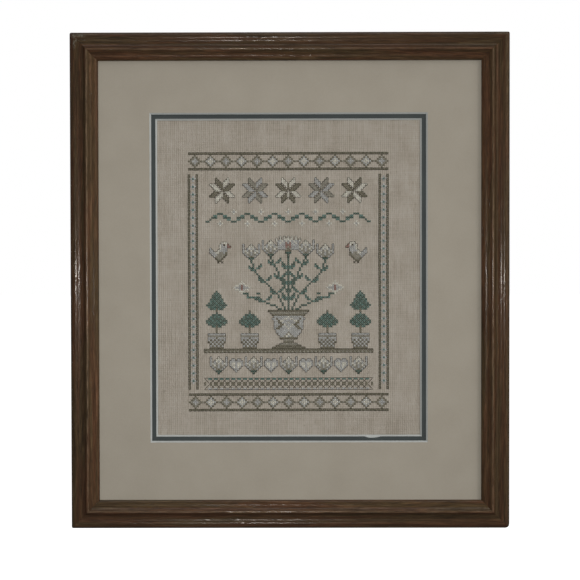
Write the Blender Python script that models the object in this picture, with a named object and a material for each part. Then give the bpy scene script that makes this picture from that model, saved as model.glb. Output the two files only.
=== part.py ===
"""A counted-thread needlework picture, double matted, in a mitred wood frame.

Metres, +Z up. The picture faces -Y and its back is the plane Y = 0, which lies on the wall.
The origin is the middle of the top rail's back face, where the picture hangs from the wall.

Front to back the frame holds the top mat, the lower mat, the stretched linen and a backing board.
"""

import math

import bmesh
import bpy
from mathutils import Vector

MM = 0.001

# Sight opening: what the frame's inner edge leaves visible
SIGHT_WIDTH = 355.6 * MM
SIGHT_HEIGHT = 408.6 * MM

# Moulding, measured from the sight edge outwards and from the wall plane forwards
FACE_WIDTH = 26.3 * MM
RABBET_WIDTH = 6.4 * MM
RABBET_DEPTH = 9.2 * MM
BACK_CHAMFER = 0.5 * MM

# The moulding's face as (distance from the sight edge, height above the wall) in millimetres,
# from the lip over the nose, the ridge and the outer band to the top of the outer side
FACE_LINE = (
    (0.00, 10.8), (0.35, 11.6), (1.2, 12.5), (2.3, 13.15), (3.3, 13.6), (4.3, 13.81), (5.2, 14.07),
    (6.2, 14.55), (7.2, 15.3), (8.1, 16.2), (8.75, 16.96), (9.25, 17.33), (9.95, 17.45), (10.35, 17.5),
    (10.8, 17.3), (11.4, 16.65), (12.3, 15.35), (13.4, 14.15), (14.7, 13.48), (16.1, 13.32), (17.5, 13.36),
    (18.9, 13.5), (20.3, 13.68), (21.3, 13.8), (22.5, 13.72), (23.9, 13.2), (25.1, 12.5), (25.9, 11.4),
    (26.3, 10.0),
)

# Straight steps between two points of the face line
FACE_LINE_STEPS = 2
SHARP_ANGLE = math.radians(35)
WELD_DISTANCE = 0.001 * MM

# Gaps between pieces that touch in the real picture, and the slack at a board's edges
SEAT_GAP = 0.3 * MM
MITRE_GAP = 0.3 * MM
EDGE_GAP = 0.5 * MM

# Boards and cloth, front to back
MAT_THICKNESS = 1.4 * MM
LINEN_THICKNESS = 1.0 * MM
BACKING_THICKNESS = 3.0 * MM
TOP_WINDOW = (255.7 * MM, 304.2 * MM)
LOWER_WINDOW = (245.0 * MM, 293.5 * MM)
WINDOW_SHIFT = (-1.1 * MM, 2.75 * MM)
CUTTER_REACH = 2 * MM

# The origin lies in the middle of the top rail's back face
HANG_AT = (RABBET_WIDTH + FACE_WIDTH) / 2
SIGHT_CENTRE_Z = -(SIGHT_HEIGHT / 2 + HANG_AT)

# Colours from the photograph, with roughness
WOOD = ("stained_wood", (0.075, 0.044, 0.026), 0.38)
TOP_MAT = ("mat_stone", (0.30, 0.27, 0.22), 0.9)
LOWER_MAT = ("mat_teal", (0.040, 0.055, 0.058), 0.9)
LINEN = ("linen", (0.32, 0.28, 0.23), 0.95)
BOARD = ("backing_board", (0.22, 0.15, 0.09), 0.85)


def clear_scene():
    for old in list(bpy.data.objects):
        bpy.data.objects.remove(old)


def new_collection(name, hidden=False):
    collection = bpy.data.collections.new(name)
    collection.hide_render = hidden
    bpy.context.scene.collection.children.link(collection)
    return collection


def material(name, colour, roughness):
    made = bpy.data.materials.new(name)
    made.use_nodes = True
    shader = made.node_tree.nodes["Principled BSDF"]
    shader.inputs["Base Color"].default_value = (*colour, 1.0)
    shader.inputs["Roughness"].default_value = roughness
    shader.inputs["Metallic"].default_value = 0.0
    return made


def add_object(name, mesh, collection, finish=None):
    made = bpy.data.objects.new(name, mesh)
    collection.objects.link(made)
    if finish:
        mesh.materials.clear()
        mesh.materials.append(finish)
    return made


# The moulding's section

def smooth_line(knots, steps):
    """Points of a smooth curve through the knots, that many to each stretch, with both of its ends."""
    knots = [Vector(knot) for knot in knots]
    points = []
    for i in range(len(knots) - 1):
        before = knots[max(i - 1, 0)]
        after = knots[min(i + 2, len(knots) - 1)]
        start_turn = (knots[i + 1] - before) / 2
        end_turn = (after - knots[i]) / 2
        for k in range(steps):
            t = k / steps
            points.append(
                knots[i] * (2 * t**3 - 3 * t**2 + 1)
                + start_turn * (t**3 - 2 * t**2 + t)
                + knots[i + 1] * (3 * t**2 - 2 * t**3)
                + end_turn * (t**3 - t**2)
            )
    return points + [knots[-1]]


def moulding_section():
    """The section as (distance from the sight edge, height above the wall), counter-clockwise."""
    back = [
        (RABBET_WIDTH, RABBET_DEPTH),
        (RABBET_WIDTH, 0.0),
        (FACE_WIDTH - BACK_CHAMFER, 0.0),
        (FACE_WIDTH, BACK_CHAMFER),
    ]
    face = [(across * MM, height * MM) for across, height in smooth_line(FACE_LINE, FACE_LINE_STEPS)]
    return back + face[::-1] + [(0.0, RABBET_DEPTH)]


# Frame rails

def rail(name, outer_length, collection, finish):
    """One mitred length of moulding along local X, its outer edge at local Z = 0 and its back at Y = 0.

    The section is drawn as a flat curve and extruded, and each end is then cut back to its mitre:
    a point lies as far in from the rail's outer corner as it lies in from its outer edge.
    """
    curve = bpy.data.curves.new(name, "CURVE")
    curve.dimensions = "2D"
    curve.fill_mode = "BOTH"
    curve.extrude = outer_length / 2
    spline = curve.splines.new("POLY")
    section = moulding_section()
    spline.points.add(len(section) - 1)
    for point, (across, height) in zip(spline.points, section):
        point.co = (across, height, 0.0, 1.0)
    spline.use_cyclic_u = True
    drawn = bpy.data.objects.new(name + "_section", curve)
    collection.objects.link(drawn)

    graph = bpy.context.evaluated_depsgraph_get()
    mesh = bpy.data.meshes.new_from_object(drawn.evaluated_get(graph))
    bpy.data.objects.remove(drawn)

    shape = bmesh.new()
    shape.from_mesh(mesh)
    bmesh.ops.remove_doubles(shape, verts=shape.verts, dist=WELD_DISTANCE)
    for vert in shape.verts:
        across, height, along = vert.co
        inset = FACE_WIDTH - across + MITRE_GAP / math.sqrt(2)
        mitred = math.copysign(outer_length / 2 - inset, along)
        vert.co = (mitred, -height, -(FACE_WIDTH - across))
    bmesh.ops.recalc_face_normals(shape, faces=shape.faces)
    shape.to_mesh(mesh)
    shape.free()
    mesh.name = name
    mesh.shade_smooth()
    mesh.set_sharp_from_angle(angle=SHARP_ANGLE)
    return add_object(name, mesh, collection, finish)


def frame_rails(collection, finish):
    """Each rail's local -Z points to the picture's middle, so the stiles and the bottom are turned."""
    outer_width = SIGHT_WIDTH + 2 * FACE_WIDTH
    outer_height = SIGHT_HEIGHT + 2 * FACE_WIDTH
    table = (
        # name, length, turn about Y in degrees, distance of its outer edge from the sight's middle
        ("frame_rail_top", outer_width, 0, outer_height / 2),
        ("frame_stile_right", outer_height, 90, outer_width / 2),
        ("frame_rail_bottom", outer_width, 180, outer_height / 2),
        ("frame_stile_left", outer_height, 270, outer_width / 2),
    )
    for name, length, turn, reach in table:
        made = rail(name, length, collection, finish)
        angle = math.radians(turn)
        made.rotation_euler = (0.0, angle, 0.0)
        made.location = (
            math.sin(angle) * reach,
            0.0,
            SIGHT_CENTRE_Z + math.cos(angle) * reach,
        )


# Mats, linen and backing

def board(name, thickness, front, collection, finish):
    """A flat sheet that fills the rabbet, its front face that high above the wall plane."""
    width = SIGHT_WIDTH + 2 * (RABBET_WIDTH - EDGE_GAP)
    height = SIGHT_HEIGHT + 2 * (RABBET_WIDTH - EDGE_GAP)
    mesh = bpy.data.meshes.new(name)
    shape = bmesh.new()
    bmesh.ops.create_cube(shape, size=1.0)
    bmesh.ops.scale(shape, vec=(width, thickness, height), verts=shape.verts)
    shape.to_mesh(mesh)
    shape.free()
    made = add_object(name, mesh, collection, finish)
    made.location = (0.0, -(front - thickness / 2), SIGHT_CENTRE_Z)
    return made


def window_cutter(name, window, thickness, front, collection):
    """A block whose sides slope at 45 degrees, wider towards the front, as a mat cutter leaves them.

    window is the size at the board's back face. The block passes both faces of the board,
    so that its slopes cut the whole way through.
    """
    mesh = bpy.data.meshes.new(name)
    shape = bmesh.new()
    bmesh.ops.create_cube(shape, size=1.0)
    for vert in shape.verts:
        ahead = thickness + CUTTER_REACH if vert.co.y < 0 else -CUTTER_REACH
        vert.co = (
            math.copysign(window[0] / 2 + ahead, vert.co.x),
            -ahead,
            math.copysign(window[1] / 2 + ahead, vert.co.z),
        )
    shape.to_mesh(mesh)
    shape.free()
    cutter = add_object(name, mesh, collection)
    cutter.location = (
        WINDOW_SHIFT[0],
        -(front - thickness),
        SIGHT_CENTRE_Z + WINDOW_SHIFT[1],
    )
    cutter.hide_render = True
    cutter.display_type = "WIRE"
    return cutter


def window_mat(name, window, front, collection, cutters, finish):
    made = board(name, MAT_THICKNESS, front, collection, finish)
    cutter = window_cutter(name + "_window", window, MAT_THICKNESS, front, cutters)
    cut = made.modifiers.new("window", "BOOLEAN")
    cut.operation = "DIFFERENCE"
    cut.solver = "EXACT"
    cut.object = cutter
    return made


def main():
    clear_scene()
    parts = new_collection("framed_needlework")
    cutters = new_collection("cutters", hidden=True)

    frame_rails(parts, material(*WOOD))

    top_front = RABBET_DEPTH - SEAT_GAP
    lower_front = top_front - MAT_THICKNESS - SEAT_GAP
    linen_front = lower_front - MAT_THICKNESS - SEAT_GAP
    backing_front = linen_front - LINEN_THICKNESS - SEAT_GAP
    window_mat("top_mat", TOP_WINDOW, top_front, parts, cutters, material(*TOP_MAT))
    window_mat("lower_mat", LOWER_WINDOW, lower_front, parts, cutters, material(*LOWER_MAT))
    board("linen_ground", LINEN_THICKNESS, linen_front, parts, material(*LINEN))
    board("backing_board", BACKING_THICKNESS, backing_front, parts, material(*BOARD))


main()
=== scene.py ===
"""The looks of a counted-thread needlework picture with a double mat, in a mitred wood frame.

Metres, +Z up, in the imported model's own frame: the picture faces -Y and its back lies in the plane Y = 0.
Heights are measured forwards from that plane, and insets from the frame's outer edge inwards.
"""

import math

import bmesh
import bpy
import numpy as np
from mathutils import Matrix, Vector


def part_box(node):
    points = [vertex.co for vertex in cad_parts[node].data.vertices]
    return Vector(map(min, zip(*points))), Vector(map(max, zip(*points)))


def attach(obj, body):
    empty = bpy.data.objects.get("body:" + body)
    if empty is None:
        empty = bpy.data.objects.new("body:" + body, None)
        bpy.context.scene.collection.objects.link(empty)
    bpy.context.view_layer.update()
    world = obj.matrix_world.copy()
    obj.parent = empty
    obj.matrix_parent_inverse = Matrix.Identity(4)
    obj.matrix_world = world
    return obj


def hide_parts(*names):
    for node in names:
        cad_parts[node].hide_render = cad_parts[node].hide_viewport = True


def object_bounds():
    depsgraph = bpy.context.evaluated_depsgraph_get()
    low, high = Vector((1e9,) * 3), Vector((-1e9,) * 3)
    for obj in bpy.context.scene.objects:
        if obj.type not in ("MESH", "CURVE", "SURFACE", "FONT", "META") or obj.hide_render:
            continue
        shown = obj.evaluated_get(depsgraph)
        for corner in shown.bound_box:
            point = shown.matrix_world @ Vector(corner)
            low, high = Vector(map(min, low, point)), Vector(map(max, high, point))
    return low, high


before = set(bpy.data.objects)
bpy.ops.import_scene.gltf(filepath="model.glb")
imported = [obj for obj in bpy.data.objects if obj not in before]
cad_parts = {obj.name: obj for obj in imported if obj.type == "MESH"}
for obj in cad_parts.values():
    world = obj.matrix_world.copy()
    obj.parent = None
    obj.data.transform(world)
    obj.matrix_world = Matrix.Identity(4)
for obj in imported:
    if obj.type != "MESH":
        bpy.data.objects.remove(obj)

CAD_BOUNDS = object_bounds()
MM = 0.001
SEED = 7
WHITE = (1.0, 1.0, 1.0)

# The outer box of the frame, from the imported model
OUTER_LOW, OUTER_HIGH = (Vector(corner) for corner in CAD_BOUNDS)
OUTER_WIDTH = OUTER_HIGH.x - OUTER_LOW.x
OUTER_HEIGHT = OUTER_HIGH.z - OUTER_LOW.z
CENTRE_Z = (OUTER_HIGH.z + OUTER_LOW.z) / 2

# The moulding's section: distances from the sight edge and heights above the wall
FACE_WIDTH = 26.3 * MM
RABBET_WIDTH = 6.4 * MM
RABBET_DEPTH = 9.2 * MM
BACK_CHAMFER = 0.5 * MM
# Its face in millimetres, from the lip over the nose, the ridge and the outer band to the outer side.
# The line keeps within 0.1 mm of the model's, with two fine beads added on the outer band.
FACE_LINE = (
    (0.00, 10.8), (0.35, 11.6), (1.2, 12.5), (2.3, 13.15), (3.3, 13.6), (4.3, 13.83), (5.2, 14.08),
    (6.2, 14.55), (7.2, 15.3), (8.1, 16.2), (8.75, 16.96), (9.25, 17.33), (9.95, 17.45), (10.35, 17.5),
    (10.8, 17.3), (11.4, 16.65), (12.3, 15.35), (13.4, 14.15), (14.7, 13.48), (16.1, 13.32),
    (17.3, 13.32), (17.8, 13.375), (18.3, 13.46), (18.8, 13.53), (20.0, 13.56), (20.5, 13.615),
    (21.0, 13.70), (21.5, 13.77), (22.3, 13.72), (23.9, 13.2), (25.1, 12.5), (25.9, 11.4), (26.3, 10.0),
)
FACE_LINE_STEPS = 3

# The ridge's pale line, partly rubbed wear and partly a painted highlight, and the outer band that starts a
# little past it and is painted darker
RIDGE_AT = 9.9 * MM
RIDGE_HEIGHT = 17.5 * MM
RUB_WIDTH = 0.8 * MM
OUTER_SHADE = 0.30
SHADE_AWAY = 1.5 * MM
SHADE_FADE = 2 * MM

# How the real rails differ from the model's: worn outer corners, a fine mitre line, an uneven surface
CORNER_RADIUS = 1.8 * MM
WORN_CORNER_RADIUS = 4.2 * MM
MITRE_LINE_DEPTH = 0.12 * MM
MITRE_LINE_WIDTH = 0.14 * MM
MITRE_ROWS = (0.35, 0.7, 1.1, 1.6, 2.2, 2.9, 3.8, 5.0, 6.5)
RAIL_STEP = 2.3 * MM
RAIL_SHARP = 40
WAVINESS = 0.05 * MM

# How far apart two rails lie in the grain, so that no two are alike
PLANK_SHIFT = (3.1, 0.37, 0.0)

# The waves of an uneven surface, as lengths along and across it, and how many phases are drawn for them
RIPPLES = ((0.190, 0.030), (0.083, 0.017), (0.031, 0.011), (0.013, 0.006))
PHASES = 8

# Pale scuffs on the top left corner, in millimetres: x and z of the middle, half sizes along x and z
SCUFFS = (
    (-193.8, 6.3, 3.7, 1.3), (-199.4, -1.2, 1.2, 3.4), (-199.8, 6.0, 1.9, 2.0), (-197.6, 2.2, 0.8, 2.0),
)
SCUFF_REACH = 1.4

# The mats' windows at the boards' back faces, and how far the windows lie off the middle
MAT_THICKNESS = 1.4 * MM
TOP_WINDOW = (255.7 * MM, 304.2 * MM)
LOWER_WINDOW = (245.0 * MM, 293.5 * MM)
WINDOW_SHIFT = (-1.1 * MM, 2.75 * MM)

# The mats' papers from dark to light, their meshes, and how far the paper dips on the face and at the cut
STONE_TONES = ((0.267, 0.240, 0.195), (0.299, 0.271, 0.222), (0.329, 0.300, 0.248))
TEAL_TONES = ((0.031, 0.039, 0.040), (0.042, 0.050, 0.0505), (0.056, 0.067, 0.0665))
SIDE_POINTS = 48
MAT_RINGS = 10
BEVEL_ROWS = (0.33, 0.66)
MAT_SHARP = 25
PAPER_DIP = 0.10 * MM
CUT_EDGE_DIP = 0.02 * MM

# The torn place in the lower mat's bottom bevel, and the form of its ragged edge
NICK_AT = 76.2 * MM
NICK_LENGTH = 14.5 * MM
NICK_DEPTH = 1.25 * MM
NICK_STEPS = 40
NICK_STEPS_OUT = 24
NICK_BLUNTNESS = 2.6
NICK_LEAN = 0.25
NICK_RAGGED = 0.12
NICK_RAGS = 31
NICK_DIP = 0.25

# The backing board's softened edge, unevenness and mesh
BOARD_EDGE = 0.25 * MM
BOARD_WAVE = 0.15 * MM
BOARD_COLUMNS = 25
BOARD_ROWS = 29
BOARD_SHARP = 40

# 14-count cloth: 14 blocks to the inch
CELL = 25.4 * MM / 14
RIB_SHARE = 1 / 3
GROOVE_DEPTH = 0.22 * MM
HOLE_DEPTH = 0.5 * MM
RIB_SPREAD = 0.018 * MM
GROOVE_SPREAD = 0.02 * MM
CLOTH_MARGIN_CELLS = 1

# The chart's size in stitches, and the middle of its place on the cloth
COLUMNS = 103
ROWS = 133
CHART_MIDDLE = (-1.4 * MM, -221.65 * MM)
MIDDLE = COLUMNS // 2

# A thread's rings as (share of its length, share of its rise, share of its girth)
THREAD_PATH = ((0.0, 0.0, 0.62), (0.25, 0.92, 1.0), (0.75, 0.92, 1.0), (1.0, 0.0, 0.62))
THREAD_RING = 5
THREAD_FLATNESS = 0.55
THREAD_WANDER = 0.025 * MM
THREAD_END_DEPTH = 0.40 * MM
UNDER_RISE = 0.10 * MM
OVER_RISE = 0.34 * MM
BACKSTITCH_RISE = 0.36 * MM
RISE_SPREAD = 0.03 * MM
CROSS_WIDTH = (0.42 * MM, 0.06)
BACKSTITCH_WIDTH = (0.26 * MM, 0.08)

# The camera, as fitted to the photograph's frame of 580 x 580 pixels
CAMERA_AT = (5.65 * MM, -1200 * MM, -209.95 * MM)
CAMERA_YAW = 0.270
CAMERA_PITCH = -0.927
CAMERA_ROLL = -0.103
CAMERA_LENS = 79.42

# The light on the picture: what share of full white each source gives a white surface in its plane
WORLD_SHARE = 0.17
FRONT_SHARE = 0.37
LAMP_SHARE = 0.14
WINDOW_SHARE = 0.29
CEILING_SHARE = 0.06
CEILING_RISE = 68.0
CEILING_AWAY = 2.6
CEILING_LIGHT_SIZE = (2.0, 1.0)
REAR_LIGHT_AT = (-0.5, 2.2, 0.68)
REAR_LIGHT_SIZE = (1.2, 1.2)
REAR_LIGHT_WATTS = 40.0
FRONT_AWAY = 1.2
FRONT_LIGHT_AT = (-110 * MM, -1220 * MM, -212 * MM)
FRONT_LIGHT_SIZE = (0.30, 0.20)
FRONT_LIGHT_SPREAD = 110.0
SPREAD_GAIN = 2.46
LAMP_AT = (-70 * MM, -1220 * MM, -230 * MM)
LAMP_SIZE = (0.05, 0.05)
LAMP_COLOUR = (1.0, 0.96, 0.91)
WINDOW_OFF_NORMAL = 55.0
WINDOW_RISE = 17.0
WINDOW_AWAY = 3.9
WINDOW_LIGHT_SIZE = (1.8, 3.9)
SHEEN_SHARE = 2.0
SHEEN_COLOUR = (1.0, 0.80, 0.58)
FLOOR_DROP = 0.6
FLOOR_SIZE = 40.0


# Shader nodes

class Paint:
    """A Principled material with short ways to add nodes. Any input may be another node's output."""

    def __init__(self, name, roughness, specular):
        self.material = bpy.data.materials.new(name)
        self.material.use_nodes = True
        self.nodes = self.material.node_tree.nodes
        self.inputs = self.nodes["Principled BSDF"].inputs
        self.set({"Roughness": roughness, "Specular IOR Level": specular})

    def join(self, value, socket):
        if isinstance(value, bpy.types.NodeSocket):
            self.material.node_tree.links.new(value, socket)
        else:
            socket.default_value = value

    def set(self, values):
        """Sets or joins inputs of the Principled shader by their names."""
        for name, value in values.items():
            self.join(value, self.inputs[name])

    def node(self, kind, inputs, **settings):
        made = self.nodes.new("ShaderNode" + kind)
        for name, value in settings.items():
            setattr(made, name, value)
        for name, value in inputs.items():
            self.join(value, made.inputs[name])
        return made

    def attribute(self, name, output="Fac"):
        return self.node("Attribute", {}, attribute_name=name).outputs[output]

    def place(self):
        return self.node("TexCoord", {}).outputs["Object"]

    def parts(self, vector):
        return self.node("SeparateXYZ", {"Vector": vector}).outputs

    def stretched(self, vector, scale, offset=(0, 0, 0)):
        made = self.node("Mapping", {"Vector": vector, "Scale": scale, "Location": offset})
        return made.outputs["Vector"]

    def noise(self, vector, scale, **shape):
        """Noise of one scale, or of a scale for each axis. shape holds detail, roughness or distortion."""
        if isinstance(scale, tuple):
            vector, scale = self.stretched(vector, scale), 1.0
        inputs = {"Vector": vector, "Scale": scale}
        inputs.update((name.capitalize(), value) for name, value in shape.items())
        return self.node("TexNoise", inputs).outputs["Fac"]

    def math(self, operation, *values):
        made = self.node("Math", {}, operation=operation)
        for socket, value in zip(made.inputs, values):
            self.join(value, socket)
        return made.outputs["Value"]

    def total(self, *terms):
        """The sum of terms, each a value or (value, weight)."""
        values = [self.math("MULTIPLY", *term) if isinstance(term, tuple) else term for term in terms]
        sum_so_far = values[0]
        for value in values[1:]:
            sum_so_far = self.math("ADD", sum_so_far, value)
        return sum_so_far

    def span(self, value, low, high, to_low=0.0, to_high=1.0):
        """value taken from low..high to to_low..to_high, smoothly and held at both ends."""
        inputs = {
            "Value": value, "From Min": low, "From Max": high, "To Min": to_low, "To Max": to_high,
        }
        return self.node("MapRange", inputs, interpolation_type="SMOOTHSTEP").outputs["Result"]

    def ramp(self, value, *stops):
        """Colours along value, each stop a (place, colour)."""
        made = self.node("ValToRGB", {"Fac": value})
        elements = made.color_ramp.elements
        while len(elements) < len(stops):
            elements.new(0.5)
        for element, (at, colour) in zip(elements, stops):
            element.position = at
            element.color = (*colour, 1.0)
        return made.outputs["Color"]

    def mix(self, share, first, second, blend="MIX"):
        made = self.node("Mix", {}, data_type="RGBA", blend_type=blend)
        for index, value in ((0, share), (6, first), (7, second)):
            if isinstance(value, tuple):
                value = (*value, 1.0)
            self.join(value, made.inputs[index])
        return made.outputs[2]

    def over(self, colour, share, most, tone):
        """tone over colour, where share is 1 as much as most."""
        return self.mix(self.math("MULTIPLY", share, most), colour, tone)

    def bump(self, height, distance, strength=1.0):
        inputs = {"Height": height, "Distance": distance, "Strength": strength}
        return self.node("Bump", inputs).outputs["Normal"]

    def finish(self, colour, normal):
        self.set({"Base Color": colour, "Normal": normal})
        return self.material


def stained_wood():
    """Dark stained open-grained wood under a thin satin lacquer.

    The attribute plank holds each point's place in its own board, the grain running along its X.
    """
    paint = Paint("stained_wood", 0.30, specular=0.18)
    plank = paint.attribute("plank", "Vector")
    drift = paint.noise(plank, (9, 150, 150), detail=3.0, distortion=0.4)
    figure = paint.noise(plank, (26, 430, 430), detail=4.0, roughness=0.66, distortion=1.4)
    fibres = paint.noise(plank, (65, 1900, 1900), detail=3.0, roughness=0.6)
    dash_place = paint.stretched(plank, (120, 1350, 1350), offset=(0.4, 0.0, 0.0))
    dashes = paint.span(paint.noise(dash_place, 1.0, distortion=0.5), 0.58, 0.70)
    pores = paint.span(paint.noise(plank, (230, 3900, 3900), detail=1.0), 0.60, 0.70)

    grain = paint.total((figure, 0.62), (fibres, 0.38))
    colour = paint.ramp(
        grain,
        (0.34, (0.019, 0.0098, 0.0044)),
        (0.46, (0.040, 0.0215, 0.0101)),
        (0.54, (0.061, 0.0340, 0.0166)),
        (0.66, (0.108, 0.0660, 0.0365)),
    )
    reddish = paint.mix(1.0, colour, (1.12, 0.90, 0.84), blend="MULTIPLY")
    greenish = paint.mix(1.0, colour, (0.94, 1.03, 0.92), blend="MULTIPLY")
    colour = paint.mix(paint.span(drift, 0.38, 0.62), greenish, reddish)
    rub_highlight_and_dark_band = paint.attribute("rub_highlight_and_dark_band")
    # Darker from a little past the ridge outwards, where the ridge's column is below 0
    colour = paint.mix(paint.span(rub_highlight_and_dark_band, -1.0, 0.0, 1.0, 0.0), colour, (0.009, 0.006, 0.0045))
    # A paler line along the ridge: partly rubbed wear, partly a painted highlight
    worn = paint.math("MULTIPLY", paint.math("MAXIMUM", rub_highlight_and_dark_band, 0.0), paint.span(fibres, 0.36, 0.60))
    colour = paint.over(colour, worn, 0.42, (0.205, 0.143, 0.090))
    colour = paint.over(colour, dashes, 0.62, (0.013, 0.008, 0.005))
    colour = paint.over(colour, pores, 0.50, (0.010, 0.007, 0.005))
    scratches = paint.span(paint.noise(paint.place(), 900, detail=3.0), 0.38, 0.56)
    scuffed = paint.math("MULTIPLY", paint.attribute("scuff"), scratches)
    colour = paint.over(colour, scuffed, 0.66, (0.150, 0.143, 0.112))
    raw = paint.ramp(
        grain,
        (0.36, (0.170, 0.112, 0.064)),
        (0.50, (0.275, 0.192, 0.118)),
        (0.64, (0.360, 0.268, 0.175)),
    )
    raw = paint.over(raw, pores, 0.60, (0.060, 0.036, 0.020))
    hidden = paint.attribute("hidden")
    dull = paint.span(figure, 0.36, 0.62, 0.40, 0.26)
    relief = paint.total((figure, 0.30), (fibres, 0.45), (dashes, -0.35), (pores, -0.60))
    normal = paint.bump(relief, 0.10 * MM)
    paint.set({
        "Roughness": paint.total(dull, (dashes, 0.14), (pores, 0.20), (scuffed, 0.20), (hidden, 0.35)),
        "Specular Tint": (1.0, 0.84, 0.68, 1.0),
        "Coat Weight": 0.31,
        "Coat Roughness": 0.12,
        "Coat Normal": normal,
    })
    return paint.finish(paint.mix(hidden, colour, raw), normal)


def mat_paper(name, dark, middle, light):
    """The coloured paper face of a mat board: fine felted fibres and a faint mottle."""
    paint = Paint(name, 0.88, specular=0.3)
    place = paint.place()
    mottle = paint.noise(place, 34, detail=3.0)
    fibres = paint.noise(place, (900, 900, 2100), detail=4.0, roughness=0.65, distortion=1.5)
    grain = paint.noise(place, 4200)
    tone = paint.total((mottle, 0.25), (fibres, 0.45), (grain, 0.30))
    colour = paint.ramp(tone, (0.34, dark), (0.50, middle), (0.66, light))
    return paint.finish(colour, paint.bump(paint.total(fibres, (grain, 0.6)), 0.05 * MM, 0.7))


def mat_core():
    """The pale pulp that a bevel cut lays bare."""
    paint = Paint("mat_core", 0.92, specular=0.25)
    streaks = paint.noise(paint.place(), (700, 3500, 700), detail=3.0)
    colour = paint.ramp(streaks, (0.3, (0.320, 0.332, 0.320)), (0.62, (0.40, 0.415, 0.40)))
    return paint.finish(colour, paint.bump(streaks, 0.04 * MM, 0.7))


def ground_cloth():
    """Oatmeal 14-count cloth. The attribute weave holds each point's place in cells of the weave."""
    paint = Paint("linen_cloth", 0.93, specular=0.2)
    weave = paint.attribute("weave", "Vector")
    parts = paint.parts(weave)

    def wave(axis, turns):
        return paint.math("COSINE", paint.math("MULTIPLY", parts[axis], math.tau * turns))

    block_edge_shade, row_edge = wave("X", 1.0), wave("Y", 1.0)
    yarn = paint.noise(weave, (6.0, 0.35, 1.0), detail=3.0)
    slub = paint.noise(weave, (1.1, 0.045, 1.0), roughness=0.6)
    weft_slub = paint.noise(weave, (0.10, 1.3, 1.0))
    speck = paint.noise(weave, (0.9, 0.55, 1.0), roughness=0.7)
    haze = paint.noise(paint.place(), 60, detail=3.0)

    # Noise lies round 0.5, so that much is taken off before it is weighted
    uneven = ((yarn, 0.58), (slub, 0.46), (weft_slub, 0.25), (haze, 0.42))
    swings = [(paint.math("SUBTRACT", field, 0.5), weight) for field, weight in uneven]
    # The colour is darker along the grooves between the blocks and along the rows of holes: painted shade
    colour = paint.ramp(
        paint.total(0.5, *swings, (block_edge_shade, -0.10), (row_edge, -0.035)),
        (0.20, (0.225, 0.195, 0.155)),
        (0.50, (0.319, 0.287, 0.240)),
        (0.80, (0.385, 0.352, 0.305)),
    )
    colour = paint.over(colour, paint.span(speck, 0.62, 0.74), 0.48, (0.17, 0.15, 0.12))
    relief = paint.total((wave("X", 4.0), 0.30), (wave("Y", 4.0), 0.22), (yarn, 0.45), (row_edge, -0.20))
    return paint.finish(colour, paint.bump(relief, 0.12 * MM, 0.8))


def yarn_finish(name, tone):
    """Stranded cotton. The attribute strand holds (turn round the thread, length along it, stitch)."""
    paint = Paint("yarn_" + name, 0.62, specular=0.35)
    strand = paint.attribute("strand", "Vector")
    parts = paint.parts(strand)
    twist = paint.math("MULTIPLY_ADD", parts["X"], 4 * math.pi, paint.math("MULTIPLY", parts["Y"], 5.5))
    strands = paint.math("SINE", twist)
    shade = paint.node("TexWhiteNoise", {"Vector": paint.stretched(strand, (0, 0, 1))}).outputs["Value"]
    fibres = paint.noise(strand, (9, 2.5, 3.7), detail=3.0)
    # The twist's stripes make the colour darker between the plies: painted shade, beside the same stripes
    # as bump
    share = paint.total((shade, 0.45), (fibres, 0.40), paint.math("MULTIPLY_ADD", strands, 0.10, 0.08))
    dark = tuple(0.66 * channel for channel in tone)
    light = tuple(min(1.0, 1.30 * channel) for channel in tone)
    colour = paint.ramp(share, (0.15, dark), (0.5, tone), (0.85, light))
    return paint.finish(colour, paint.bump(strands, 0.06 * MM, 0.8))


def fibre_board():
    """Brown pressed-fibre backing board."""
    paint = Paint("backing_fibreboard", 0.85, specular=0.25)
    place = paint.place()
    fibres = paint.noise(place, (700, 900, 260), detail=5.0, roughness=0.7, distortion=2.0)
    grit = paint.node("TexVoronoi", {"Vector": paint.stretched(place, (420, 420, 150)), "Scale": 1.0})
    flecks = paint.span(grit.outputs["Distance"], 0.10, 0.28, 1.0, 0.0)
    blotches = paint.noise(place, 14, detail=3.0)
    strands = paint.noise(place, (90, 300, 1400), detail=3.0, distortion=1.0)
    colour = paint.ramp(
        paint.total((fibres, 0.55), (strands, 0.30), (blotches, 0.15)),
        (0.32, (0.105, 0.066, 0.036)),
        (0.50, (0.200, 0.132, 0.078)),
        (0.68, (0.300, 0.210, 0.130)),
    )
    colour = paint.over(colour, flecks, 0.35, (0.36, 0.27, 0.18))
    return paint.finish(colour, paint.bump(fibres, 0.12 * MM, 0.8))


# Meshes

def add_object(name, data):
    made = bpy.data.objects.new(name, data)
    bpy.context.scene.collection.objects.link(made)
    return made


def add_piece(name, points, faces, materials, face_slots=None, attributes=None, sharp=None):
    """A closed mesh from points and faces, with its faces turned outwards."""
    mesh = bpy.data.meshes.new(name)
    mesh.from_pydata([tuple(point) for point in points], [], faces)
    for material in materials:
        mesh.materials.append(material)
    if face_slots is not None:
        mesh.polygons.foreach_set("material_index", face_slots)
    for label, values in (attributes or {}).items():
        values = np.asarray(values, dtype=np.float32)
        kind = "FLOAT" if values.ndim == 1 else "FLOAT_VECTOR"
        made = mesh.attributes.new(label, kind, "POINT")
        made.data.foreach_set("value" if values.ndim == 1 else "vector", values.ravel())
    shape = bmesh.new()
    shape.from_mesh(mesh)
    bmesh.ops.recalc_face_normals(shape, faces=shape.faces)
    shape.to_mesh(mesh)
    shape.free()
    mesh.shade_smooth()
    if sharp is not None:
        mesh.set_sharp_from_angle(angle=math.radians(sharp))
    return add_object(name, mesh)


def put_in_place(piece, slot, *nodes):
    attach(piece, "root")
    if nodes:
        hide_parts(*nodes)


def board_box(node):
    """A flat node's lowest and highest corners, and the heights of its front and back."""
    low, high = (Vector(corner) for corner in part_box(node))
    return low, high, -low.y, -high.y


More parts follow.
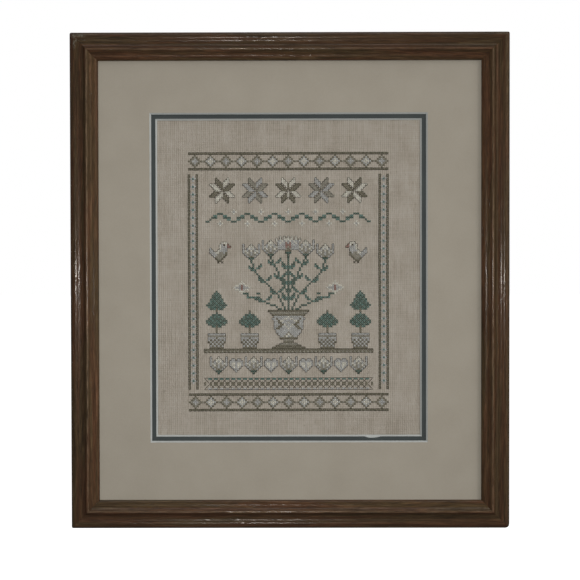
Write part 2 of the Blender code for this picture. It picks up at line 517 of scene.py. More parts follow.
def tube_faces(rows, ring, closed=False):
    """Quads of a tube: rows of ring points each, its two ends capped, or joined where it is closed."""
    faces = []
    for row in range(rows if closed else rows - 1):
        below = (row + 1) % rows
        for k in range(ring):
            after = (k + 1) % ring
            faces.append((row * ring + k, row * ring + after, below * ring + after, below * ring + k))
    if not closed:
        faces.append(tuple(range(ring - 1, -1, -1)))
        faces.append(tuple((rows - 1) * ring + k for k in range(ring)))
    return faces


def ripple(along, across, phases):
    """A slow unevenness between about -1 and 1, from waves at the given phases."""
    waves = [
        math.tau * (along / length + across / width) + phase
        for (length, width), phase in zip(RIPPLES, phases)
    ]
    return sum(np.sin(wave) for wave in waves) / len(waves)


# The frame's rails

def straight(corners, steps):
    """Points of straight stretches from corner to corner, without the last end."""
    return [
        (a[0] + (b[0] - a[0]) * i / count, a[1] + (b[1] - a[1]) * i / count)
        for a, b, count in zip(corners, corners[1:], steps)
        for i in range(count)
    ]


def smooth_line(knots, steps):
    """Points of a smooth curve through the knots, that many to each stretch, with both of its ends."""
    knots = [Vector(knot) for knot in knots]
    points = []
    for i in range(len(knots) - 1):
        before = knots[max(i - 1, 0)]
        after = knots[min(i + 2, len(knots) - 1)]
        start_turn = (knots[i + 1] - before) / 2
        end_turn = (after - knots[i]) / 2
        for k in range(steps):
            t = k / steps
            points.append(
                knots[i] * (2 * t**3 - 3 * t**2 + 1) + start_turn * (t**3 - 2 * t**2 + t)
                + knots[i + 1] * (3 * t**2 - 2 * t**3) + end_turn * (t**3 - t**2)
            )
    return points + [knots[-1]]


def moulding_section():
    """Columns of distance from the sight edge, height, pale ridge line and dark band, and hidden,
    counter-clockwise.

    The ridge's column is a pale line of rubbed wear and painted highlight, below 0 a darker outer band, and
    hidden is true on the unstained back.
    """
    rabbet_corner = (RABBET_WIDTH, RABBET_DEPTH)
    chamfer = (FACE_WIDTH, BACK_CHAMFER)
    face = [(u * MM, w * MM) for u, w in smooth_line(FACE_LINE, FACE_LINE_STEPS)]
    back_corners = [rabbet_corner, (RABBET_WIDTH, 0.0), (FACE_WIDTH - BACK_CHAMFER, 0.0), chamfer]
    back = straight(back_corners, (4, 8, 1))
    side = straight([chamfer, face[-1]], (6,))
    lip = straight([face[0], (0.0, RABBET_DEPTH), rabbet_corner], (2, 4))[1:]
    across, height = np.array(back + side + face[::-1] + lip).T
    hidden = np.arange(len(across)) < len(back)
    # A pale line on the ridge, partly wear and partly a painted highlight, less a darker outer band past it
    rub_highlight_and_dark_band = np.exp(-(((across - RIDGE_AT) / RUB_WIDTH) ** 2))
    rub_highlight_and_dark_band -= OUTER_SHADE * np.clip((across - RIDGE_AT - SHADE_AWAY) / SHADE_FADE, 0, 1)
    return across, height, np.where(hidden, 0.0, rub_highlight_and_dark_band), hidden


def rail_rows(half_length):
    """Distances from a rail's end to its middle, close together near the mitre."""
    near = [0.0, MITRE_LINE_WIDTH] + [t * MM for t in MITRE_ROWS]
    steps = round((half_length - near[-1]) / RAIL_STEP)
    return near + [near[-1] + (half_length - near[-1]) * i / steps for i in range(1, steps + 1)]


def round_corner(from_edge, from_neighbour, radius):
    """Moves points in the square corner of a frame into a quarter disc of that radius."""
    x = 1 - from_edge / radius
    y = 1 - from_neighbour / radius
    inside = (x > 0) & (y > 0)
    x_round = x * np.sqrt(1 - y**2 / 2)
    y_round = y * np.sqrt(1 - x**2 / 2)
    return (
        np.where(inside, radius * (1 - x_round), from_edge),
        np.where(inside, radius * (1 - y_round), from_neighbour),
    )


def scuff_share(points):
    share = np.zeros(len(points))
    for scuff in SCUFFS:
        x, z, half_x, half_z = (value * MM for value in scuff)
        away = np.hypot((points[:, 0] - x) / half_x, (points[:, 2] - z) / half_z)
        share = np.maximum(share, np.clip(SCUFF_REACH - away, 0, 1))
    return share * (points[:, 1] < -RABBET_DEPTH)


def rail(name, number, length, reach, radii, ridge_wear_and_highlight, finish, rng):
    """One mitred rail. The first runs along X at the top, and each next one is a quarter turn further.

    reach is how far its outer edge lies from the picture's middle, radii are those of the outer corners at
    its two ends, and ridge_wear_and_highlight is how pale its ridge line is painted: partly wear, partly a
    painted highlight.
    """
    across, level, rub_highlight_and_dark_band, hidden = moulding_section()
    face = ~hidden & (level > RABBET_DEPTH)
    half_length = length / 2
    ends = rail_rows(half_length)
    stations = [(-1, distance) for distance in ends] + [(1, distance) for distance in reversed(ends[:-1])]
    phases = rng.uniform(0, math.tau, PHASES)
    rows = []
    for side, distance in stations:
        inset = FACE_WIDTH - across
        along = side * (half_length - inset) * (1 - distance / half_length)
        uneven = WAVINESS * ripple(along, across + level, phases)
        sunk = MITRE_LINE_DEPTH if distance == 0 else 0.0
        height = np.minimum(level + np.where(face, uneven - sunk, 0.0), RIDGE_HEIGHT)
        from_corner = half_length - np.abs(along)
        inset, from_corner = round_corner(inset, from_corner, radii[0] if side < 0 else radii[1])
        rows.append(np.stack([side * (half_length - from_corner), inset, height], axis=1))
    plank = np.concatenate(rows)
    along, inset, height = plank.T
    up = reach - inset
    angle = math.radians(90 * number)
    cos, sin = math.cos(angle), math.sin(angle)
    turned = np.stack([along * cos + up * sin, -height, up * cos - along * sin + CENTRE_Z], axis=1)
    count = len(stations)
    attributes = {
        "plank": plank + number * np.array(PLANK_SHIFT),
        "rub_highlight_and_dark_band": np.tile(rub_highlight_and_dark_band * np.where(rub_highlight_and_dark_band > 0, ridge_wear_and_highlight, 1.0), count),
        "hidden": np.tile(hidden, count),
        "scuff": scuff_share(turned),
    }
    faces = tube_faces(count, len(across))
    return add_piece(name, turned, faces, [finish], attributes=attributes, sharp=RAIL_SHARP)


def build_frame():
    finish = stained_wood()
    rng = np.random.default_rng(SEED)
    usual, worn = CORNER_RADIUS, WORN_CORNER_RADIUS
    # The ridge line is painted palest on the left stile and faintest on the top rail: partly wear, partly
    # painted highlight
    table = (
        # piece, length, distance of its outer edge from the middle, corner radii, ridge wear and painted
        # highlight
        ("rail_top", OUTER_WIDTH, OUTER_HEIGHT / 2, (usual, usual), 0.65),
        ("stile_right", OUTER_HEIGHT, OUTER_WIDTH / 2, (usual, worn), 1.0),
        ("rail_bottom", OUTER_WIDTH, OUTER_HEIGHT / 2, (worn, usual), 0.95),
        ("stile_left", OUTER_HEIGHT, OUTER_WIDTH / 2, (usual, usual), 1.45),
    )
    for number, (name, length, reach, radii, ridge_wear_and_highlight) in enumerate(table):
        piece = rail(name, number, length, reach, radii, ridge_wear_and_highlight, finish, rng)
        put_in_place(piece, "stained_wood", "frame_" + name)


# The mats

def rectangle_path(low_x, low_z, high_x, high_z, shares):
    """Points round a rectangle, counter-clockwise from its lower left, at the given shares of each side."""
    corners = [(low_x, low_z), (high_x, low_z), (high_x, high_z), (low_x, high_z)]
    points = []
    for start, end, side_shares in zip(corners, corners[1:] + corners[:1], shares):
        for share in side_shares:
            points.append((start[0] + (end[0] - start[0]) * share, start[1] + (end[1] - start[1]) * share))
    return np.array(points)


def nick_depth(x):
    """How far the torn place moves the bevel's front edge down at x."""
    t = (x - NICK_AT) / (NICK_LENGTH / 2)
    body = np.clip(1 - np.abs(t) ** NICK_BLUNTNESS, 0, None)
    ragged = NICK_RAGGED * np.sin(NICK_RAGS * t) * body
    return NICK_DEPTH * np.clip(body * (1 - NICK_LEAN * t) + ragged, 0, None)


def window_mat(name, node, window, finishes, torn, phases):
    """A mat board with its bevelled window. Profile rows run round the window, side after side."""
    low, high, front, back = board_box(node)
    middle_x = WINDOW_SHIFT[0]
    middle_z = CENTRE_Z + WINDOW_SHIFT[1]
    even = [i / SIDE_POINTS for i in range(SIDE_POINTS)]
    bottom = even
    if torn:
        window_low = middle_x - window[0] / 2
        steps = range(-NICK_STEPS_OUT, NICK_STEPS_OUT + 1)
        near = [(NICK_AT + t * NICK_LENGTH / NICK_STEPS - window_low) / window[0] for t in steps]
        bottom = sorted({share for share in even if not near[0] < share < near[-1]} | set(near))
    shares = (bottom, even, even, even)

    def window_path(wider):
        return rectangle_path(
            middle_x - window[0] / 2 - wider, middle_z - window[1] / 2 - wider,
            middle_x + window[0] / 2 + wider, middle_z + window[1] / 2 + wider, shares,
        )

    outer = rectangle_path(low.x, low.z, high.x, high.z, shares)
    back_edge = window_path(0.0)
    front_edge = window_path(MAT_THICKNESS)
    flat = np.zeros(len(outer))
    tear = flat
    if torn:
        tear = np.where(np.arange(len(outer)) < len(bottom), nick_depth(back_edge[:, 0]), 0.0)
    front_edge[:, 1] -= tear

    # Each row has its points, their heights, and the finish of the faces up to the next row
    profile = [(outer, flat + back, 0)]
    for i in range(MAT_RINGS):
        t = i / MAT_RINGS
        ring = outer + (front_edge - outer) * t
        dip = PAPER_DIP * (ripple(ring[:, 0], ring[:, 1], phases) - 1) * math.sin(math.pi * t)
        profile.append((ring, front + dip, 0))
    # The cut edge turns over a little, and more where it is torn
    profile.append((front_edge, flat + front - CUT_EDGE_DIP - NICK_DIP * tear, 1))
    for t in BEVEL_ROWS:
        height = front + (back - front) * t
        profile.append((front_edge + (back_edge - front_edge) * t, flat + height, 1))
    profile.append((back_edge, flat + back, 0))

    points = [np.stack([ring[:, 0], -height, ring[:, 1]], axis=1) for ring, height, _ in profile]
    faces = tube_faces(len(profile), len(outer), closed=True)
    slots = [slot for *_, slot in profile for _ in outer]
    return add_piece(name, np.concatenate(points), faces, finishes, face_slots=slots, sharp=MAT_SHARP)


def build_mats():
    rng = np.random.default_rng(SEED + 1)
    stone = mat_paper("stone_mat_paper", *STONE_TONES)
    teal = mat_paper("teal_mat_paper", *TEAL_TONES)
    core = mat_core()
    for name, node, window, paper, torn, slot in (
        ("mat_top", "top_mat", TOP_WINDOW, stone, False, "mat_stone"),
        ("mat_lower", "lower_mat", LOWER_WINDOW, teal, True, "mat_teal"),
    ):
        piece = window_mat(name, node, window, [paper, core], torn, rng.uniform(0, math.tau, PHASES))
        put_in_place(piece, slot, node)


# The ground cloth

def chart_corner():
    """World x and z of the chart's top left corner, which is also a hole of the cloth."""
    return CHART_MIDDLE[0] - COLUMNS / 2 * CELL, CHART_MIDDLE[1] + ROWS / 2 * CELL


def cloth_sway(x, z):
    """How far the weave strays sideways and up, in metres, because no cloth is stretched quite square."""
    sideways = 0.10 * MM * np.sin(z / 0.061 + 1.3) + 0.07 * MM * np.sin(z / 0.023 + x / 0.15)
    upwards = 0.09 * MM * np.sin(x / 0.052 + 0.4) + 0.05 * MM * np.sin(x / 0.019 + z / 0.2)
    return sideways, upwards


def weave_place(column, row):
    """World x and z of a place in the weave, counted in cells from the chart's top left corner."""
    left, top = chart_corner()
    x = left + np.asarray(column) * CELL
    z = top - np.asarray(row) * CELL
    sideways, upwards = cloth_sway(x, z)
    return x + sideways, z + upwards


def build_cloth(finish):
    """The cloth: a rib for each column of the weave with holes along the grooves, on a flat back.

    Rows of points lie on the lines of holes. Between two holes of a groove lies one point more.
    """
    low, high, front, back = board_box("linen_ground")
    left, top = chart_corner()
    window_left = WINDOW_SHIFT[0] - LOWER_WINDOW[0] / 2
    window_top = CENTRE_Z + WINDOW_SHIFT[1] + LOWER_WINDOW[1] / 2
    first_column = math.floor((window_left - left) / CELL) - CLOTH_MARGIN_CELLS
    last_column = math.ceil((window_left + LOWER_WINDOW[0] - left) / CELL) + CLOTH_MARGIN_CELLS
    first_row = math.floor((top - window_top) / CELL) - CLOTH_MARGIN_CELLS
    last_row = math.ceil((top - window_top + LOWER_WINDOW[1]) / CELL) + CLOTH_MARGIN_CELLS
    columns = last_column - first_column
    rows = last_row - first_row
    rng = np.random.default_rng(SEED + 2)

    # Three points to a cell along each line of holes: the hole and the two shoulders of the rib
    rib_places = (0.0, 0.5 - RIB_SHARE / 2, 0.5 + RIB_SHARE / 2)
    line = [first_column + i + share for i in range(columns) for share in rib_places] + [last_column]
    line = np.array(line)
    wide = len(line)
    heights = np.where(np.isclose(line, np.round(line)), front - HOLE_DEPTH, front)
    grid = []
    for j in range(rows + 1):
        x, z = weave_place(line, np.full(wide, float(first_row + j)))
        height = heights + rng.normal(0, RIB_SPREAD, wide)
        if j in (0, rows):
            height = np.full(wide, front - GROOVE_DEPTH)
        grid.append(np.stack([x, -np.minimum(height, front), z], axis=1))
    groove_columns = np.arange(first_column, last_column + 1, dtype=float)
    for j in range(rows):
        x, z = weave_place(groove_columns, np.full(columns + 1, first_row + j + 0.5))
        height = front - GROOVE_DEPTH + rng.normal(0, GROOVE_SPREAD, columns + 1)
        grid.append(np.stack([x, -height, z], axis=1))

    points = np.concatenate(grid)
    weave = [(c, r, 0.0) for r in range(first_row, last_row + 1) for c in line]
    weave += [(c, r + 0.5, 0.0) for r in range(first_row, last_row) for c in groove_columns]
    at = np.arange((rows + 1) * wide).reshape(rows + 1, wide)
    groove = at.size + np.arange(rows * (columns + 1)).reshape(rows, columns + 1)
    faces = []
    for above, below, between in zip(at.tolist(), at[1:].tolist(), groove.tolist()):
        for i in range(columns):
            a, b, c, d = range(3 * i, 3 * i + 4)
            faces.append((above[a], between[i], below[a], below[b], above[b]))
            faces.append((above[b], below[b], below[c], above[c]))
            faces.append((above[c], below[c], below[d], between[i + 1], above[d]))

    # Round the ribs lies a plain border that the mats cover, and behind them all a plain back
    right_side = np.stack([groove[:, -1], at[1:, -1]], axis=1).ravel()
    left_side = np.stack([groove[::-1, 0], at[-2::-1, 0]], axis=1).ravel()[:-1]
    rim = np.concatenate([at[0], right_side, at[-1, -2::-1], left_side])
    edge = []
    for axis in (0, 2):
        start, end = points[at[-1, 0], axis], points[at[0, -1], axis]
        share = (points[rim, axis] - start) / (end - start)
        edge.append(np.clip(low[axis] + (high[axis] - low[axis]) * share, low[axis], high[axis]))
    x, z = edge
    size = len(rim)
    rings = [rim.tolist()]
    for height in (front - GROOVE_DEPTH, back):
        rings.append(range(len(points), len(points) + size))
        points = np.concatenate([points, np.stack([x, np.full(size, -height), z], axis=1)])
        weave += zip((x - left) / CELL, (top - z) / CELL, np.zeros(size))
    for inner, outer in zip(rings, rings[1:]):
        for k in range(size):
            after = (k + 1) % size
            faces.append((inner[k], inner[after], outer[after], outer[k]))
    faces.append(tuple(rings[-1]))
    return add_piece("ground_cloth", points, faces, [finish], attributes={"weave": weave})


def build_backing(finish):
    """The fibreboard behind the cloth: softened edges, and faces that are not quite flat."""
    low, high, front, back = board_box("backing_board")
    phases = np.random.default_rng(SEED + 4).uniform(0, math.tau, PHASES)
    across = np.linspace(low.x, high.x, BOARD_COLUMNS)
    up = np.linspace(low.z, high.z, BOARD_ROWS)
    across = np.sort(np.append(across, [low.x + BOARD_EDGE, high.x - BOARD_EDGE]))
    up = np.sort(np.append(up, [low.z + BOARD_EDGE, high.z - BOARD_EDGE]))
    x, z = np.meshgrid(across, up)
    wave = BOARD_WAVE * (1 + ripple(x, z, phases)) / 2
    rim = np.minimum.reduce([x - low.x, high.x - x, z - low.z, high.z - z]) < BOARD_EDGE / 2
    sunk = np.where(rim, BOARD_EDGE, wave)
    sides = [np.stack([x, -height, z], axis=-1).reshape(-1, 3) for height in (front - sunk, back + sunk)]
    at = np.arange(x.size).reshape(x.shape)
    corners = np.stack([at[:-1, :-1], at[:-1, 1:], at[1:, 1:], at[1:, :-1]], axis=-1).reshape(-1, 4)
    faces = corners.tolist() + (corners + at.size).tolist()
    edge = np.concatenate([at[0], at[1:, -1], at[-1, -2::-1], at[-2:0:-1, 0]])
    after = np.roll(edge, -1)
    faces += np.stack([edge, after, after + at.size, edge + at.size], axis=1).tolist()
    return add_piece("board_back", np.concatenate(sides), faces, [finish], sharp=BOARD_SHARP)


# The chart of the stitches

# Each yarn's letter in the motifs below, its name and its colour
YARNS = {
    "o": ("olive", (0.120, 0.112, 0.078)),
    "g": ("grey", (0.215, 0.206, 0.168)),
    "l": ("silver", (0.330, 0.335, 0.325)),
    "w": ("white", (0.500, 0.485, 0.420)),
    "d": ("dark", (0.055, 0.048, 0.034)),
    "t": ("pine", (0.038, 0.078, 0.064)),
    "T": ("sea", (0.078, 0.155, 0.136)),
    "r": ("rose", (0.215, 0.120, 0.100)),
}
OUTLINE_TONE = (0.045, 0.040, 0.028)

# Right halves of symmetric motifs, the middle column first
TULIP = ("w...l", "ww..l", "lwl.l", "wglwl", "lgwgl", "lggl.", "ogl..", "tt...", "t....")
CARNATION = (
    "w.w.w..", "www.w.w", "lwlwlww", "lrllwl.", "rrllll.", "grlll..", "oglll..", "oo.....",
    "tt.....", "t......",
)
ROSETTE = ("w....", "ww...", "rlww.", "rlllw", "rlww.", "ww...", "w....")
HEART = (".ll..", "llll.", "lwwl.", "lwwl.", "lwl..", "ll...", "l....")
URN = (
    "ooooooooooo", "gggggggggg.", "ooooooooo..", "wlllllll...", "lwwllloll..", "lllwwoll...", "wlllooll...",
    "llwoolll...", "lwllooll...", "wllllool...", "lllllll....", "gllllll....", "wgllll.....", "lwgll......",
    "ooooo......", "ggg........", "ooo........", "ggggg......", "ooooooo....", "ooooooooo..",
)
TREE = (
    "t.....", "Tt....", "tTt...", "Ttt...", "ttTt..", "tTtT..", "TttTt.", "tTtttt", "ttTtT.", "oTtt..",
    "o.....", "t.....", "Ttt...", "tTtT..", "tttTt.", "TtTttt", "tTttTt", "ttTtt.", "oTt...", "o.....",
    "o.....", "o.....", "lllll.", "ggggg.", "ollll.", "lolol.", "ololo.", "lolo..", "olol..", "oooo..",
)

# A bird that looks to the right
BIRD = (
    "......www..", ".....wldwr.", ".....wlllrr", "l....wlll..", "ll..wllll..", "lllwwgglo..", ".lllggggo..",
    "..lggggo...", "...oggo....", "....oo.....", "....d.d....",
)

# Leaves on a stem and crosses in the lattice's meshes, as steps across and down and a yarn
LEAVES = (
    (1, -1, "T"), (2, -2, "t"), (3, -2, "T"), (2, -1, "t"), (3, -3, "t"),
    (-1, 0, "T"), (-2, -1, "t"), (-3, -1, "T"), (-2, 0, "t"), (-3, -2, "t"),
)
MESH_CROSSES = (
    (2, 5, "l"), (3, 5, "l"), (2, 0, "T"), (3, 0, "T"), (5, 2, "o"), (5, 3, "o"), (0, 2, "o"), (0, 3, "o"),
)


class Chart:
    """Cells hold a yarn's letter. Lines are pairs of corners that a backstitch joins."""

    def __init__(self):
        self.cells = {}
        self.lines = []

    def put(self, x, y, yarn):
        """One cross at x and its mirror image across the chart's middle column."""
        x, y = round(x), round(y)
        if yarn != ".":
            self.cells[x, y] = yarn
            self.cells[COLUMNS - 1 - x, y] = yarn

    def motif(self, x, y, rows):
        """A chart with one string for each row, its top left cell at x, y."""
        for j, row in enumerate(rows):
            for i, yarn in enumerate(row):
                self.put(x + i, y + j, yarn)

    def folded(self, x, y, rows):
        """A symmetric motif of which rows holds the right half, its middle column at x."""
        self.motif(x, y, rows)
        self.motif(x - len(rows[0]) + 1, y, [row[::-1] for row in rows])

    def line(self, *corners, step=1):
        """Backstitches from corner to corner, each about step cells long, and their mirror image."""
        for (x0, y0), (x1, y1) in zip(corners, corners[1:]):
            count = max(1, round(max(abs(x1 - x0), abs(y1 - y0)) / step))
            points = [
                (round(x0 + (x1 - x0) * i / count), round(y0 + (y1 - y0) * i / count))
                for i in range(count + 1)
            ]
            self.lines += list(zip(points, points[1:]))
            mirrored = [(COLUMNS - x, y) for x, y in points]
            if set(mirrored) != set(points):
                self.lines += list(zip(mirrored, mirrored[1:]))

    def outline(self, top, bottom, left=0, right=COLUMNS):
        """Backstitches round the crosses of a stretch of the chart, two cells long where they can be."""
        picked = {(x, y) for x, y in self.cells if top <= y < bottom and left <= x < right}
        level = {(y + s, x) for x, y in picked for s in (0, 1) if (x, y + 2 * s - 1) not in picked}
        upright = {(x + s, y) for x, y in picked for s in (0, 1) if (x + 2 * s - 1, y) not in picked}
        for edges, flip in ((sorted(level), True), (sorted(upright), False)):
            i = 0
            while i < len(edges):
                fixed, start = edges[i]
                double = (fixed, start + 1) in edges[i + 1:i + 2]
                ends = [(fixed, start), (fixed, start + 1 + double)]
                self.lines.append(tuple((b, a) if flip else (a, b) for a, b in ends))
                i += 1 + double


def band(chart, top):
    """A border of nested lozenges between two plain rows."""
    for x in range(MIDDLE + 1):
        chart.put(x, top, "o")
        chart.put(x, top + 8, "o")
        chart.put(x, top + 4, "g")
    for k in range(7):
        yarns = "olw" if k % 2 else "ogl"
        for dy in range(-3, 4):
            for dx in range(abs(dy) - 3, 4 - abs(dy)):
                ring = 3 - abs(dx) - abs(dy)
                chart.put(MIDDLE - 8 * k + dx, top + 4 + dy, yarns[min(ring, 2)])
    for y in (top, top + 1, top + 8, top + 9):
        chart.line((0, y), (COLUMNS, y), step=2)


def upright_border(chart, top, bottom):
    for y in range(top, bottom):
        chart.put(0, y, "o")
        chart.put(4, y, "o")
    for k in range((bottom - top) // 4):
        y = top + 2 + 4 * k
        chart.put(2, y, "T")
        for dx, dy in ((1, 0), (-1, 0), (0, 1), (0, -1)):
            chart.put(2 + dx, y + dy, "l")
    for x in (0, 1, 4, 5):
        chart.line((x, top), (x, bottom), step=2)


def star(chart, cx, cy, size, light, deep):
    """An eight-pointed star of eight lozenges, in turns light and deep, size cells to a lozenge's side."""
    reach = 2 * size - 1
    for y in range(-reach, reach + 1):
        for x in range(-reach, reach + 1):
            a, b = abs(x), abs(y)
            if min(a, b) < size and abs(a - b) < size and a != b:
                turned = (x > 0) == (y > 0)
                chart.put(cx + x, cy + y, light if (a > b) == turned else deep)


def vine(chart, y):
    """A running stem with a flower in each bend and leaves between them."""
    period = 14
    for x in range(9, MIDDLE + 1):
        chart.put(x, y + 2 * math.cos(math.tau * (x - MIDDLE) / period), "t")
    for k in range(6):
        side = 1 if k % 2 else -1
        cx = MIDDLE - k * period // 2
        flower = y + 3 * side
        for dx, dy in ((0, 0), (1, 0), (-1, 0), (0, 1), (0, -1)):
            chart.put(cx + dx, flower + dy, "w" if dx or dy else "l")
        for dx, dy, yarn in ((2, 1, "T"), (3, 1, "T"), (3, 2, "t"), (2, 2, "t")):
            chart.put(cx + dx, y + side * (dy - 2), yarn)
            chart.put(cx - dx, y + side * (dy - 2), yarn)


def spray(chart, top, points, leaves):
    """A stem through points, each (x, rise above top), with leaves at the given shares of its length."""
    points = [(x, top - rise) for x, rise in points]
    path = []
    for (x0, y0), (x1, y1) in zip(points, points[1:]):
        steps = max(abs(x1 - x0), abs(y1 - y0))
        path += [(x0 + (x1 - x0) * i / steps, y0 + (y1 - y0) * i / steps) for i in range(steps + 1)]
    for x, y in path:
        chart.put(x, y, "t")
    for share in leaves:
        x, y = path[int(share * (len(path) - 1))]
        for dx, dy, yarn in LEAVES:
            chart.put(x + dx, y + dy, yarn)


def bouquet(chart, top):
    """An urn whose rim lies at top, with carnation, tulips and rosettes on leafy stems."""
    chart.folded(MIDDLE, top, URN)
    chart.outline(top, top + len(URN), MIDDLE - 11, MIDDLE + 12)
    spray(chart, top, [(51, 1), (51, 28)], (0.2, 0.5, 0.8))
    spray(chart, top, [(49, 1), (46, 8), (40, 14), (34, 20), (32, 26)], (0.35, 0.6, 0.85))
    spray(chart, top, [(47, 1), (41, 4), (34, 6), (28, 9)], (0.45, 0.8))
    spray(chart, top, [(50, 10), (46, 19), (42, 28)], (0.4, 0.8))
    chart.folded(MIDDLE, top - 38, CARNATION)
    chart.folded(MIDDLE - 19, top - 34, TULIP)
    chart.folded(MIDDLE - 9, top - 36, TULIP)
    chart.folded(MIDDLE - 24, top - 15, ROSETTE)
    chart.outline(top - 38, top - 27, MIDDLE - 24, MIDDLE + 25)


def lattice(chart, top, bottom, left, right):
    """Crossed backstitch lines with a small cross in each mesh, inside a drawn frame."""
    for x in range(left, right, 6):
        chart.line((x, top), (x + 3, top + 3), (x + 6, top + 6), step=3)
        chart.line((x + 6, top), (x + 3, top + 3), (x, top + 6), step=3)
        for dx, dy, yarn in MESH_CROSSES:
            chart.put(x + dx, top + dy, yarn)
    for y in (top, bottom):
        chart.line((left, y), (right, y), step=2)


def draw_chart():
    """A sampler of bands: lozenges, stars, a vine, an urn of flowers between trees, tulips and hearts."""
    chart = Chart()
    band(chart, 0)
    band(chart, ROWS - 9)
    upright_border(chart, 11, ROWS - 11)
    for k in range(3):
        star(chart, MIDDLE - 17 * k, 19, 4, "l" if k % 2 else "w", "g" if k % 2 else "o")
    chart.outline(11, 27, 8, COLUMNS - 8)
    vine(chart, 33)
    bouquet(chart, 81)

    # Trees in tubs and birds beside the bouquet
    for x, rows in ((14, TREE), (31, TREE[10:])):
        chart.folded(x, 101 - len(rows), rows)
        chart.outline(93, 101, x - 6, x + 7)
        chart.outline(93, 101, COLUMNS - 7 - x, COLUMNS + 6 - x)
    chart.motif(11, 46, BIRD)
    chart.outline(46, 56, 8, 24)
    chart.outline(46, 56, COLUMNS - 24, COLUMNS - 8)

    # The shelf they stand on, and a row of tulips and hearts under it
    for x in range(8, MIDDLE + 1):
        chart.put(x, 101, "o")
        chart.put(x, 102, "g" if x % 2 else "o")
    chart.outline(101, 103, 7, COLUMNS - 7)
    for k in range(5):
        if k % 2:
            chart.folded(MIDDLE - 9 * k, 106, HEART)
        else:
            chart.folded(MIDDLE - 9 * k, 105, TULIP)
    chart.outline(105, 114, 7, COLUMNS - 7)
    lattice(chart, 116, 122, 8, 8 + 6 * 14)
    return chart


# The stitches

def stitched(name, start, end, rises, width, finish, rng):
    """Threads laid from hole to hole, as closed tubes of four rings. width is (half width, its spread).

    The attribute strand holds (turn round the thread, length along it in millimetres, stitch number).
    """
    count = len(start)
    rises = rises + rng.normal(0, RISE_SPREAD, count)
    half_widths = width[0] * rng.normal(1, width[1], count)
    run = end - start
    length = np.hypot(run[:, 0], run[:, 1])
    direction = run / length[:, None]
    sideways = np.stack([-direction[:, 1], direction[:, 0]], axis=1)
    turns = np.arange(THREAD_RING) / THREAD_RING
    angles = math.tau * (turns - 0.25)
    cloth_front = -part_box("linen_ground")[0][1]
    points = np.empty((count, len(THREAD_PATH), THREAD_RING, 3))
    strand = np.empty_like(points)
    for row, (share, lift, girth) in enumerate(THREAD_PATH):
        middle = start + run * share + rng.normal(0, THREAD_WANDER, (count, 2))
        height = cloth_front + lift * rises + (lift - 1) * THREAD_END_DEPTH
        across = np.cos(angles)[None, :] * (girth * half_widths)[:, None]
        up = np.sin(angles)[None, :] * girth * THREAD_FLATNESS * half_widths[:, None]
        points[:, row, :, 0] = middle[:, :1] + sideways[:, :1] * across
        points[:, row, :, 1] = -(height[:, None] + up)
        points[:, row, :, 2] = middle[:, 1:] + sideways[:, 1:] * across
        strand[:, row, :, 0] = turns[None, :]
        strand[:, row, :, 1] = (share * length / MM)[:, None]
        strand[:, row, :, 2] = np.arange(count)[:, None]
    *sides, first_cap, last_cap = tube_faces(len(THREAD_PATH), THREAD_RING)
    size = len(THREAD_PATH) * THREAD_RING
    faces = (np.array(sides)[None, :, :] + size * np.arange(count)[:, None, None]).reshape(-1, 4).tolist()
    for k in range(count):
        faces += [tuple(index + size * k for index in cap) for cap in (first_cap, last_cap)]
    attributes = {"strand": strand.reshape(-1, 3)}
    piece = add_piece(name, points.reshape(-1, 3), faces, [finish], attributes=attributes)
    put_in_place(piece, "thread")
    return piece.name


def holes(corners):
    """World x and z of the holes at chart corners, as an array with a row for each."""
    return np.stack(weave_place(*np.array(corners, dtype=float).T), axis=1)


def build_stitches():
    """A piece of crosses for each yarn, the legs below before those on top, and one of all backstitches."""
    chart = draw_chart()
    rng = np.random.default_rng(SEED + 3)
    names = []
    for letter, (colour, tone) in YARNS.items():
        cells = np.array(sorted(cell for cell, yarn in chart.cells.items() if yarn == letter))
        start = holes(np.concatenate([cells + (0, 1), cells]))
        end = holes(np.concatenate([cells + (1, 0), cells + (1, 1)]))
        rises = np.repeat([UNDER_RISE, OVER_RISE], len(cells))
        finish = yarn_finish(colour, tone)
        names.append(stitched("crosses_" + colour, start, end, rises, CROSS_WIDTH, finish, rng))
    start, end = (holes([line[i] for line in chart.lines]) for i in (0, 1))
    finish = yarn_finish("outline", OUTLINE_TONE)
    names.append(stitched("backstitches", start, end, BACKSTITCH_RISE, BACKSTITCH_WIDTH, finish, rng))
    return names


def main():
    build_frame()
    build_mats()
    cloth = build_cloth(ground_cloth())
    put_in_place(cloth, "linen", "linen_ground")
    stitches = build_stitches()
    put_in_place(build_backing(fibre_board()), "backing_board", "backing_board")


# The stage

def build_world():
    """Pale all round. The camera sees the world white, and it lights the picture more softly."""
    world = bpy.data.worlds.new("studio")
    world.use_nodes = True
    bpy.context.scene.world = world
    nodes, links = world.node_tree.nodes, world.node_tree.links
    nodes.clear()
    path = nodes.new("ShaderNodeLightPath")
    either = nodes.new("ShaderNodeMixShader")
    output = nodes.new("ShaderNodeOutputWorld")
    links.new(path.outputs["Is Camera Ray"], either.inputs[0])
    for index, strength in ((1, WORLD_SHARE), (2, 1.0)):
        pale = nodes.new("ShaderNodeBackground")
        pale.inputs["Color"].default_value = (*WHITE, 1.0)
        pale.inputs["Strength"].default_value = strength
        links.new(pale.outputs[0], either.inputs[index])
    links.new(either.outputs[0], output.inputs["Surface"])


def area_light(name, place, size, watts, colour=WHITE):
    light = bpy.data.lights.new(name, "AREA")
    light.shape = "RECTANGLE"
    light.size, light.size_y = size
    light.energy = watts
    light.color = colour
    made = add_object(name, light)
    made.location = place
    target = Vector((0.0, 0.0, CENTRE_Z))
    made.rotation_euler = (target - Vector(place)).to_track_quat("-Z", "Y").to_euler()
    return made


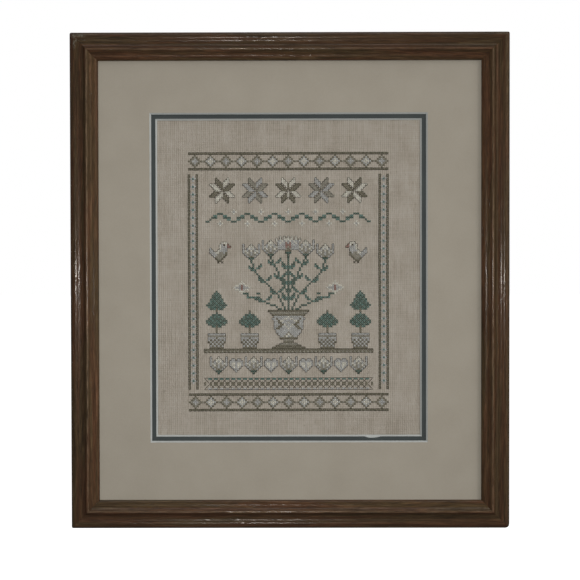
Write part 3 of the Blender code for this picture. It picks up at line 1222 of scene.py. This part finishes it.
def toward(off_normal, rise, away):
    """A place that far from the picture's middle, at angles to the right of its normal and above it."""
    side, up = math.radians(off_normal), math.radians(rise)
    return (
        away * math.sin(side) * math.cos(up),
        -away * math.cos(side) * math.cos(up),
        CENTRE_Z + away * math.sin(up),
    )


def watts_for(share, away, off_normal=0.0):
    """The power of a light that gives a white surface in the picture's plane that share of full white."""
    return share * (math.pi * away) ** 2 / math.cos(math.radians(off_normal))


def build_lights():
    """Soft light and a small lamp beside the lens, a window on the right, a ceiling and a rear light.

    The spread of the front light makes it fall off towards the picture's corners, and brightens its middle.
    The window is two lights, one for its plain light and one for its warmer sheen. The rear light is for
    views from behind.
    """
    power = watts_for(FRONT_SHARE, FRONT_AWAY) / SPREAD_GAIN
    soft = area_light("front_light", FRONT_LIGHT_AT, FRONT_LIGHT_SIZE, power)
    soft.data.spread = math.radians(FRONT_LIGHT_SPREAD)
    soft.visible_glossy = False
    area_light("lamp", LAMP_AT, LAMP_SIZE, watts_for(LAMP_SHARE, FRONT_AWAY), LAMP_COLOUR)
    window_at = toward(WINDOW_OFF_NORMAL, WINDOW_RISE, WINDOW_AWAY)
    power = watts_for(WINDOW_SHARE, WINDOW_AWAY, WINDOW_OFF_NORMAL)
    window = area_light("window_light", window_at, WINDOW_LIGHT_SIZE, power)
    window.visible_glossy = False
    sheen = area_light("window_sheen", window_at, WINDOW_LIGHT_SIZE, power * SHEEN_SHARE, SHEEN_COLOUR)
    sheen.visible_diffuse = False
    power = watts_for(CEILING_SHARE, CEILING_AWAY, CEILING_RISE)
    area_light("ceiling_light", toward(0.0, CEILING_RISE, CEILING_AWAY), CEILING_LIGHT_SIZE, power)
    rear = area_light("rear_light", REAR_LIGHT_AT, REAR_LIGHT_SIZE, REAR_LIGHT_WATTS)
    rear.visible_glossy = False


def build_floor():
    """A plain pale floor, well below the hanging picture. Only the camera sees it."""
    mesh = bpy.data.meshes.new("floor")
    shape = bmesh.new()
    bmesh.ops.create_grid(shape, x_segments=1, y_segments=1, size=FLOOR_SIZE)
    shape.to_mesh(mesh)
    shape.free()
    paint = Paint("pale_floor", 0.9, specular=0.1)
    paint.set({"Emission Strength": 1.0, "Emission Color": (*WHITE, 1.0)})
    mesh.materials.append(paint.material)
    floor = add_object("floor", mesh)
    floor.location = (0.0, 0.0, OUTER_LOW.z - FLOOR_DROP)
    for ray in ("diffuse", "glossy", "transmission", "volume_scatter", "shadow"):
        setattr(floor, "visible_" + ray, False)


def build_camera():
    camera = bpy.data.cameras.new("camera")
    camera.lens = CAMERA_LENS
    made = add_object("camera", camera)
    turned = (
        Matrix.Rotation(math.radians(CAMERA_YAW), 4, "Z")
        @ Matrix.Rotation(math.radians(90 + CAMERA_PITCH), 4, "X")
        @ Matrix.Rotation(math.radians(CAMERA_ROLL), 4, "Z")
    )
    made.matrix_world = Matrix.Translation(CAMERA_AT) @ turned
    bpy.context.scene.camera = made


build_camera()
build_world()
build_lights()
build_floor()
main()
bpy.context.scene.view_settings.view_transform = "Standard"
